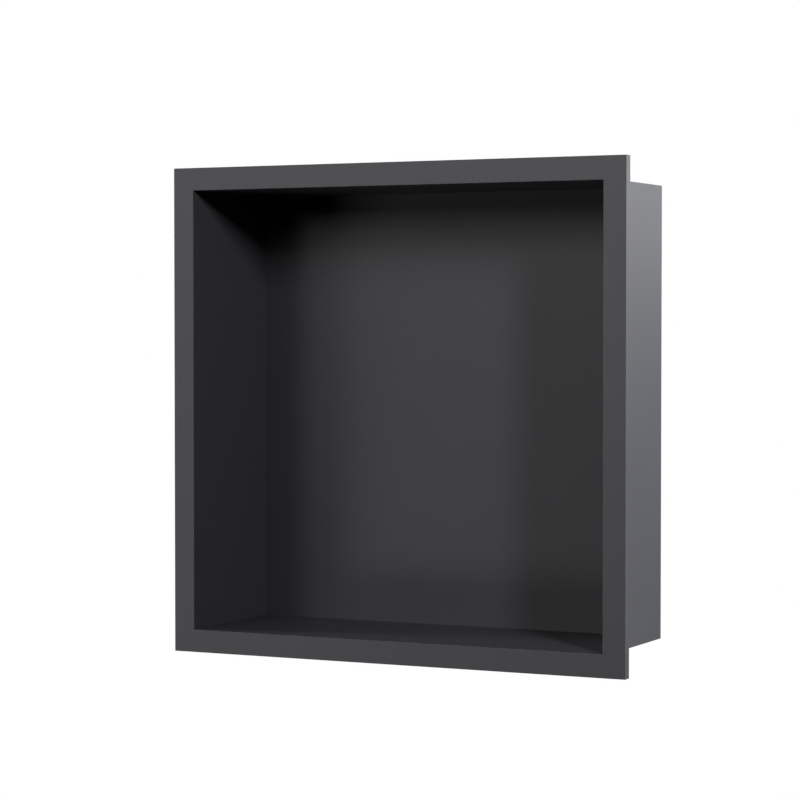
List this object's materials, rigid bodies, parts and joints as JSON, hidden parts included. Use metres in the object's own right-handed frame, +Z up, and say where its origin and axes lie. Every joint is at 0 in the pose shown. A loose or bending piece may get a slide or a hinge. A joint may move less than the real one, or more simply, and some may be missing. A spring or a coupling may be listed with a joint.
{
  "type": "shower niche insert",
  "caption": "Square recessed shower niche folded from coated sheet metal, with a flat frame round its opening and a lip at the frame's edge that seats on the tiled wall.",
  "frame": {"origin": "centre of the opening, on the face of the wall: the plane of the lip's rim behind the frame", "axes": "+X to the right seen from the room, +Y into the wall, +Z up; the frame faces -Y"},
  "size_m": [0.331, 0.1022, 0.331],
  "materials": {
    "coat": "matte"
  },
  "bodies": {
    "root": {"niche_shell": "coat"}
  },
  "joints": []
}
